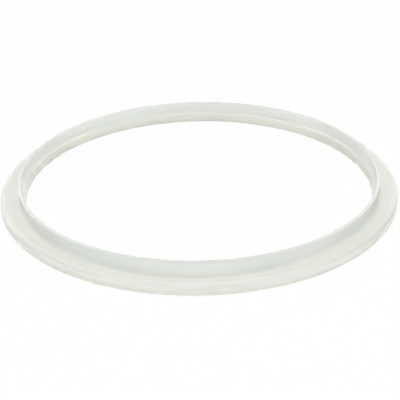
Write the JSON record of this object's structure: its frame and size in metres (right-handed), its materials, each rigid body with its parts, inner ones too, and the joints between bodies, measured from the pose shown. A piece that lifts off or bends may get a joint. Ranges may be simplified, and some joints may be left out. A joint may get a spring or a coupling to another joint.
{
  "type": "pressure cooker gasket",
  "caption": "Translucent silicone sealing ring for a pressure cooker lid: a flat-bottomed flange with a rounded outer bead, and a thin lip that leans outward at its inner edge.",
  "frame": {"origin": "centre of the ring, on the flat underside of the flange", "axes": "+Z along the ring's axis, from the flange towards the rim of the lip; the ring is round, so +X and +Y are any two directions across it"},
  "size_m": [0.244, 0.244, 0.0139],
  "materials": {
    "silicone": "translucent milky silicone, moulded, softly glossy"
  },
  "bodies": {
    "root": {"gasket_ring": "silicone"}
  },
  "joints": []
}
